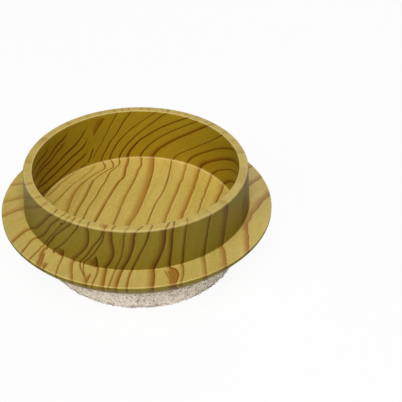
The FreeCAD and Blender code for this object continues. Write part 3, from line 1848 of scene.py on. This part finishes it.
def floor_strokes() -> tuple[Stroke, ...]:
    """Draw the lines over the seat's floor.

    Returns:
        The strokes, from the left.
    """
    line = partial(Stroke.on, Face.SEAT_FLOOR)
    return (
        line(
            (9.5, -27.6), (12.5, -25.4), (16.2, -23.5), (19.1, -21.6), (21.6, -19.8), (23.4, -18.3),
            shade=1.8, depth=0.55, crisp=0.3,
        ),
        line(
            (-1, -27.6), (6.2, -25.2), (9.2, -23.4), (12.2, -21.8), (15.6, -19.9), (17, -19),
            shade=0.6, depth=0.75,
        ),
        line((17, -18.4), (20.6, -16), (23.3, -14.3), (25.5, -13.2), shade=0.8, depth=0.4),
        line(
            (-18, -25.6), (1, -21), (7.2, -19.9), (10.2, -19.2), (13.3, -18), (16, -16.7), (17, -16),
            shade=2.0, depth=0.65, crisp=0.6,
        ),
        line(
            (15, -17.3), (17, -16.1), (19.7, -14.2), (21.8, -12.2), (23.1, -10.8), (24.3, -9.9),
            (25.6, -9.8), (27.5, -10.4), (30, -11),
            shade=0.8, depth=0.9,
        ),
        line(
            (-23, -25), (-0.5, -18.6), (6.4, -16.4), (9.5, -15.4), (12.9, -14.6), (17.5, -13.3),
            shade=1.5, depth=0.75,
        ),
        line(
            (16, -13.8), (17.5, -13.3), (19.1, -12.3), (22.7, -9.3), (24.1, -7.7), (25.2, -7.1),
            (26.8, -7.2), (28.3, -7.7), (30, -8.4),
            shade=0.8, depth=0.9,
        ),
        line(
            (-25, -22.5), (-1.9, -16), (3.7, -14.4), (8.7, -12.4), (13.7, -10.9), (16, -9.9),
            (20.6, -8.6), (22.2, -8), (23.5, -7.1), (25, -5.9), (26.4, -5.2), (27.5, -5.1), (30, -5.4),
            shade=0.7, depth=0.9,
        ),
        line(
            (-28, -19.4), (-3.8, -12.4), (7.5, -8.6), (14.1, -6.2), (16.4, -5.2), (18.7, -3.9),
            (20.6, -3.5), (24.8, -2.9), (26.8, -2.4), (30, -2.2),
            shade=1.6, depth=0.9,
        ),
        line(
            (-29.5, -14), (-5.5, -6.9), (6.8, -3.8), (12.9, -1.8), (18.7, 0), (22.9, 1), (25.2, 1.8),
            (30, 2),
            shade=1.5, depth=0.7,
        ),
        line(
            (-30, -9.4), (-6.1, -2.3), (-2.8, -0.8), (1.4, 0.7), (5.6, 1.9), (12.5, 3.6), (19.5, 5.1),
            (30, 6.1),
            shade=3.4, depth=0.75, crisp=0.9,
        ),
        line(
            (-30, -4.4), (-6.3, 2.8), (0.2, 4.5), (5.2, 6.2), (9.1, 7.9), (16, 9.8), (29, 12),
            shade=0.7, depth=0.9,
        ),
    )


def wall_strokes() -> tuple[Stroke, ...]:
    """Draw the lines up the back of the seat's wall.

    Returns:
        The strokes, from the left, and then the patch beside the knot.
    """
    line = partial(Stroke.on, Face.SEAT_WALL)
    return (
        line(
            (14.6, 120.8), (15.4, 119.7), (16.6, 118.4), (17.9, 117.2), (19.2, 116.2),
            shade=0.8, depth=1.0,
        ),
        line(
            (15.6, 116.6), (17.7, 114.7), (19.5, 112.2), (20.6, 110.5), (22, 109.3), (23.9, 107.2),
            (25.6, 105.5), (27.9, 103), (31, 99.5),
            shade=0.6, depth=0.55,
        ),
        line(
            (12.8, 112.4), (16, 110.1), (17.7, 108), (19.5, 106.2), (20.8, 104.7), (22, 102.6),
            (23.5, 100.4), (26, 97.8), (28.5, 94.7), (31, 91),
            shade=0.7, depth=0.8,
        ),
        line(
            (12.8, 106.6), (15.8, 104.7), (17.5, 103), (20.2, 99.7), (21.8, 96.8), (23.1, 94.3),
            (25.8, 88.4), (28.3, 82.2), (31, 75.5),
            shade=0.8, depth=0.8,
        ),
        line(
            (12.8, 100.4), (14.3, 99.7), (16.2, 98), (17.7, 95.9), (20.6, 91.3), (22.3, 88), (23.9, 84.7),
            (26.6, 78.8), (29.1, 73.8), (31, 69),
            shade=0.8, depth=0.9,
        ),
        line(
            (12.8, 95), (14.3, 94.3), (15.6, 93.3), (17.2, 91.2), (20.2, 86.2), (21.8, 82), (23.5, 77.8),
            (25, 73.6), (26.4, 69.5), (28.5, 63), (31, 55),
            shade=1.4, depth=1.0,
        ),
        line(
            (12.8, 87.2), (14.3, 86.5), (15.8, 84.7), (17.5, 82.2), (18.9, 79.7), (20.4, 76.7),
            (22.9, 70.5), (26, 62), (31, 48),
            shade=1.0, depth=0.75,
        ),
        line(
            (12.8, 79.4), (14.7, 78), (15.6, 76.8), (17, 74.7), (18.1, 72.2), (19.1, 70.1), (21, 65.5),
            (24, 57.5), (31, 40),
            shade=2.4, depth=0.8,
        ),
        line(
            (12.8, 66.6), (15, 64.5), (17, 60.5), (19, 55), (21, 50), (24, 42.5), (31, 27),
            shade=0.8, depth=0.8,
        ),
        line(
            (23.6, 116.2), (26, 113), (27.5, 110.6), (29.4, 108.2),
            shade=3.8, depth=0.6, opens=3.6, crisp=0.3,
        ),
    )


def side_strokes() -> tuple[Stroke, ...]:
    """Draw the lines round the left of the seat's wall.

    Returns:
        The strokes, from below.
    """
    line = partial(Stroke.on, Face.SEAT_SIDE)
    return (
        line((119.7, 15.5), (123, 14.8), (126.3, 14.2), (128, 13.6), shade=1.2, depth=0.7),
        line(
            (119, 21.2), (121.3, 19.1), (123.8, 18.1), (129.7, 16.8), (136.3, 15.4), (140.5, 14.9),
            (149.7, 14.6), (154.7, 14.7), (161, 15.6), (172, 18),
            shade=1.3, depth=0.8,
        ),
        line(
            (118, 26), (119.7, 24.3), (120.9, 23.1), (125.5, 21), (133, 19.5), (137.2, 18.7),
            (142.2, 18.1), (148, 17.7), (153.8, 17.7), (161.3, 18.5), (165.5, 19.3), (175, 21),
            shade=1.2, depth=1.0,
        ),
        line(
            (119, 28.4), (121.3, 27.2), (124.7, 25.2), (127.2, 24.1), (129.7, 23.3), (138, 21.8),
            (142.2, 21), (146.3, 20.5), (153.8, 20.4), (161.3, 20.5), (168.8, 20.8), (180, 22.5),
            shade=1.2, depth=1.0,
        ),
        line(
            (135, 26.4), (138, 25.8), (140.5, 25.1), (144.7, 24.5), (148, 23.7), (152.2, 23.4),
            (157.2, 23.6), (162.2, 23.8), (172, 24.6),
            shade=1.2, depth=0.95,
        ),
        line(
            (132, 30.4), (135.5, 28.5), (138, 27.7), (143.8, 26.9), (146.3, 26.2), (149.7, 25.5),
            (153, 25.1), (157.2, 25), (161.3, 25.2), (168.8, 25.4), (180, 26.5),
            shade=1.2, depth=0.95,
        ),
        line(
            (149, 30.6), (151.8, 28.5), (153.8, 27.9), (157.2, 27.5), (161.3, 27.6), (166.3, 27.8),
            (178, 28.4),
            shade=1.2, depth=0.95,
        ),
    )


def outside_strokes() -> tuple[Stroke, ...]:
    """Draw the lines over the rim, down the wall and out over the flange.

    Returns:
        The strokes, from the left.
    """
    line = partial(Stroke.on, Face.OUTSIDE)
    return (
        line(
            (0, 196.7), (2.6, 196.5), (4, 192.5), (5.2, 188.7), (7.8, 181), (15.4, 163), (21.8, 166),
            shade=2.2, depth=0.55,
        ),
        line(
            (0, 210.3), (2.6, 209.5), (4, 206), (5.9, 200.2), (8.1, 193.3), (15.4, 176), (21.8, 179),
            shade=3.2, depth=0.55, crisp=0.6,
        ),
        line(
            (0, 216.5), (2.6, 217.3), (4, 214.5), (6.6, 207), (10.2, 198), (15, 185.6), (21.8, 189),
            shade=3.2, depth=0.6, crisp=0.6,
        ),
        line((16, 201), (18, 203.5), (19, 204.3), shade=1.5, depth=0.5),
        line(
            (0, 224.6), (2.6, 226), (4.3, 223.3), (6.9, 219.5), (10, 214.8), (12.6, 210.2), (15, 203.6),
            (16, 203.3), (18, 204.5), (21.8, 207.6),
            shade=2.2, depth=0.9,
        ),
        line(
            (0, 230.8), (2.6, 230.5), (5, 227.2), (7.1, 224), (10, 220.7), (12.6, 217.2), (15, 212.6),
            (16, 211), (18, 212.2), (19.7, 214), (21.8, 215.8),
            shade=1.4, depth=0.9,
        ),
        line(
            (0, 233.8), (2.6, 234), (5.6, 230.3), (8.6, 226.5), (11.1, 223), (13.6, 220), (15.2, 218),
            (16, 218.2), (18, 219.3), (21.8, 221.1),
            shade=0.9, depth=0.8,
        ),
        line(
            (0, 237), (2.6, 237.3), (5.6, 233.5), (7.6, 230.2), (9.6, 227), (11.6, 224.7), (15.2, 221),
            (16.3, 221), (18, 222), (20, 224.2), (21.8, 225.8),
            shade=1.6, depth=0.9,
        ),
        line(
            (0, 240.6), (2.6, 241), (6.1, 238), (8.1, 235.6), (10.1, 233), (12.1, 230), (13.6, 227.5),
            (15, 225.3),
            shade=0.9, depth=0.9,
        ),
        line(
            (0, 245.3), (2.6, 245.7), (4.6, 246.3), (7.6, 246), (8.6, 245.5), (11.1, 243), (13.1, 240.3),
            (15.1, 238), (16, 238), (17.5, 239.2), (19, 240.5), (21.8, 243.1),
            shade=1.9, depth=0.8,
        ),
        line(
            (2.6, 254), (5.6, 252), (7.1, 250.3), (8.6, 248.5), (11.6, 245.5), (13.6, 243), (15.1, 241.3),
            (16, 241.7), (17, 243), (18.3, 245), (19.5, 246.6), (20.6, 248), (21.8, 249.1),
            shade=0.9, depth=0.9,
        ),
        line(
            (2.6, 254.3), (5.3, 253.5), (6.6, 252.8), (7.9, 251.5), (9.6, 250), (11.6, 247.8),
            (13.3, 245.5), (15, 243.2), (16, 243.5), (17.5, 244.8), (19, 246.6),
            shade=0.7, depth=0.9,
        ),
        line((11.4, 249.8), (13.6, 250.2), (15.2, 250.5), shade=3.8, depth=1.0, opens=2.4),
        line((15, 250.5), (16.2, 250.9), (17.7, 251.4), (21.8, 251.6), shade=0.8, depth=0.9),
        line((12.7, 231.6), (13.4, 232), (14.2, 231.8), (15.2, 231.3), shade=3.8, depth=1.0, opens=0.8),
        line((15, 231.3), (17.2, 232.5), (19, 233.6), (21.8, 235.6), shade=0.9, depth=0.9),
        line((17.8, 248.4), (19.5, 248.9), (21.8, 249.1), shade=2.2, depth=0.9, opens=2.0),
        line(
            (17, 222.4), (18.6, 224.2), (20.2, 226), (21.8, 227.2),
            shade=2.4, depth=0.9, opens=1.2, crisp=0.5,
        ),
        line((19.5, 228.4), (20.4, 228.9), (21.8, 229.4), shade=2.4, depth=0.9, opens=0.4, crisp=0.6),
        line((0, 250.5), (1.2, 251.6), (2.6, 254), shade=0.4, depth=0.8),
        line((0, 254.8), (0.8, 254.7), (2.2, 254.4), shade=3.2, depth=0.95),
        line((0, 252.7), (0.8, 253.1), (1.5, 253.8), shade=3.0, depth=0.9, crisp=0.3),
        line(
            (0, 259), (2.6, 257.8), (5.6, 257.8), (9.1, 258.6), (10.6, 258.3), (12.1, 257.3), (13.6, 256),
            (15.1, 254.6), (16, 254.8), (18, 255.2), (21.8, 256),
            shade=2.0, depth=1.0,
        ),
        line(
            (0, 266.3), (2.6, 264.1), (7.6, 263), (11.6, 261.4), (15.1, 259), (18, 258.4), (21.8, 258),
            shade=0.8, depth=0.8,
        ),
        line(
            (0, 273.5), (2.6, 269.3), (7.6, 267.6), (11.6, 265.4), (15.1, 262.5), (18, 261.5),
            (21.8, 261),
            shade=1.9, depth=1.0,
        ),
        line(
            (0, 277.7), (2.6, 275.5), (5.6, 274), (11.6, 269.4), (15.1, 266.7), (18, 265.5), (21.8, 265),
            shade=1.2, depth=0.9,
        ),
        line(
            (0, 286.9), (2.6, 283.3), (7.6, 282.2), (11.6, 279.8), (15.1, 277), (18, 276.3), (21.8, 275),
            shade=2.4, depth=1.0,
        ),
        line((0, 289), (2.6, 287), (9.6, 285.6), (15.2, 284.5), (16.2, 284.9), shade=1.7, depth=1.0),
        line(
            (15.4, 284.8), (16.6, 286.4), (18.2, 286.7), (20, 285.6), (21.8, 283.9),
            shade=2.6, depth=1.0,
        ),
        line(
            (16, 284.4), (18, 285), (20, 284.2), (21.8, 282.8),
            shade=2.0, depth=1.0, opens=0.3, crisp=0.0,
        ),
        line(
            (16.4, 283), (18, 283.4), (20, 283.2), (21.8, 282.4),
            shade=1.6, depth=0.9, opens=0.3, crisp=0.0,
        ),
        line((16, 281.4), (18, 281.7), (20, 282), (21.8, 281.8), shade=0.5, depth=0.8),
        line(
            (0, 296), (2.6, 294), (9, 292), (15.2, 290.6), (18.5, 289), (20.5, 287.4), (21.8, 286.2),
            shade=1.3, depth=0.8,
        ),
    )


def seat_grain(cup: Cup) -> SeatGrain:
    """Lay out the rings of the seat.

    Args:
        cup: The cup that carries them.

    Returns:
        The rings.
    """
    return SeatGrain(
        start=-56.0,
        rings=(
            Ring(-52.5, 1.2, 0.6), Ring(-50.0, 1.2, 0.6), Ring(-47.7, 1.2, 0.7), Ring(-44.2, 1.0, 0.8),
            Ring(-41.9, 1.0, 0.8), Ring(-38.5, 1.2, 0.8), Ring(-35.9, 1.2, 0.8), Ring(-32.9, 1.4, 0.6),
            Ring(-28.9, 2.0, 0.7), Ring(-26.6, 0.6, 0.6), Ring(-22.0, 2.6, 0.8), Ring(-18.4, 2.2, 0.8),
            Ring(-15.3, 0.8, 0.8), Ring(-10.8, 1.7, 1.0), Ring(-6.0, 1.4, 0.75), Ring(-0.2, 3.6, 0.95),
            Ring(4.6, 0.7, 0.9), Ring(9.6, 1.6, 0.7), Ring(14.4, 2.4, 0.8), Ring(18.6, 1.0, 0.7),
            Ring(23.4, 1.8, 0.8), Ring(28.0, 1.4, 0.7), Ring(33.0, 1.6, 0.7),
        ),
        lean=GRAIN_LEAN,
        floor_z=cup.seat_z / MM,
    )


def outside_grain(cup: Cup) -> OutsideGrain:
    """Lay out the rings of the outside.

    Args:
        cup: The cup that carries them.

    Returns:
        The rings.
    """
    return OutsideGrain(
        start=-48.0,
        rings=(
            Ring(-43.0, 1.5, 0.6), Ring(-38.0, 1.5, 0.6), Ring(-33.0, 1.5, 0.6), Ring(-28.6, 1.0, 0.7),
            Ring(-23.3, 1.8, 0.6), Ring(-19.9, 1.6, 0.6), Ring(-15.6, 1.4, 0.8), Ring(-13.2, 0.9, 0.9),
            Ring(-11.2, 1.0, 0.8), Ring(-7.2, 0.9, 0.9), Ring(-4.3, 1.6, 0.8), Ring(0.4, 0.9, 0.9),
            Ring(2.4, 1.9, 1.0), Ring(6.3, 0.8, 0.8), Ring(9.0, 1.1, 0.9), Ring(13.0, 0.9, 0.8),
            Ring(16.9, 1.3, 0.8), Ring(18.9, 2.2, 0.9), Ring(24.0, 1.5, 0.7), Ring(27.5, 1.0, 0.7),
            Ring(31.0, 1.6, 0.7), Ring(34.5, 1.2, 0.7), Ring(38.0, 1.4, 0.7), Ring(42.0, 1.2, 0.7),
            Ring(47.0, 1.4, 0.7),
        ),
        lean=GRAIN_LEAN,
        rim_z=cup.rim_z / MM,
        bore_radius=cup.bore_radius / MM,
        rim_radius=cup.rim_radius / MM,
        wall_radius=cup.wall_radius / MM,
        wall_height=(cup.rim_z - cup.wall_foot_z) / MM,
    )


def grain_print(cup: Cup) -> GrainPrint:
    """Lay out the whole print on a cup.

    Args:
        cup: The cup that carries it.

    Returns:
        The finish.
    """
    seat, outside = seat_grain(cup), outside_grain(cup)
    bore_radius, rim_z = outside.bore_radius, outside.rim_z
    flange_radius, edge_top_z = cup.flange_radius / MM, cup.edge_top_z / MM
    round_inset, bevel_inset, seat_margin = 0.2, 0.1, 0.15
    return GrainPrint(
        seat=seat,
        outside=outside,
        strokes=(*floor_strokes(), *wall_strokes(), *side_strokes(), *outside_strokes()),
        specks=(
            Speck(angle=225.3, from_axis=33.5, height=18.2, size=0.45),
            Speck(angle=230.7, from_axis=32.75, height=29.0, size=0.5),
        ),
        # worn print and painted highlights on the rim, the flange and the seat floor's edge
        edges=(
            WornHighlitEdge(outside.rim_radius - round_inset, rim_z - round_inset, reach=0.5, share=0.3),
            WornHighlitEdge(bore_radius + bevel_inset, rim_z - bevel_inset, reach=0.35, share=0.45),
            WornHighlitEdge(flange_radius - bevel_inset, edge_top_z - bevel_inset, reach=0.4, share=0.15),
            WornHighlitEdge(bore_radius, seat.floor_z, reach=0.7, share=0.3),
        ),
        seat_radius=bore_radius + seat_margin,
        flange_z=(cup.edge_under_z / MM, edge_top_z, cup.wall_foot_z / MM),
    )


def main() -> None:
    """Build the cup, the pad, the studio and the camera, and report each piece."""
    logging.basicConfig(level=logging.INFO, format="%(name)s: %(message)s")
    cup = Cup.from_frame()
    pieces = [cup.build(grain_print(cup))]
    pieces += FeltPad.from_frame().build(HeatherFelt())
    for piece in pieces:
        LOG.info("%s: %d faces", piece.name, len(piece.data.polygons))
    Studio().build()
    Viewpoint().build()


if __name__ == "__main__":
    main()
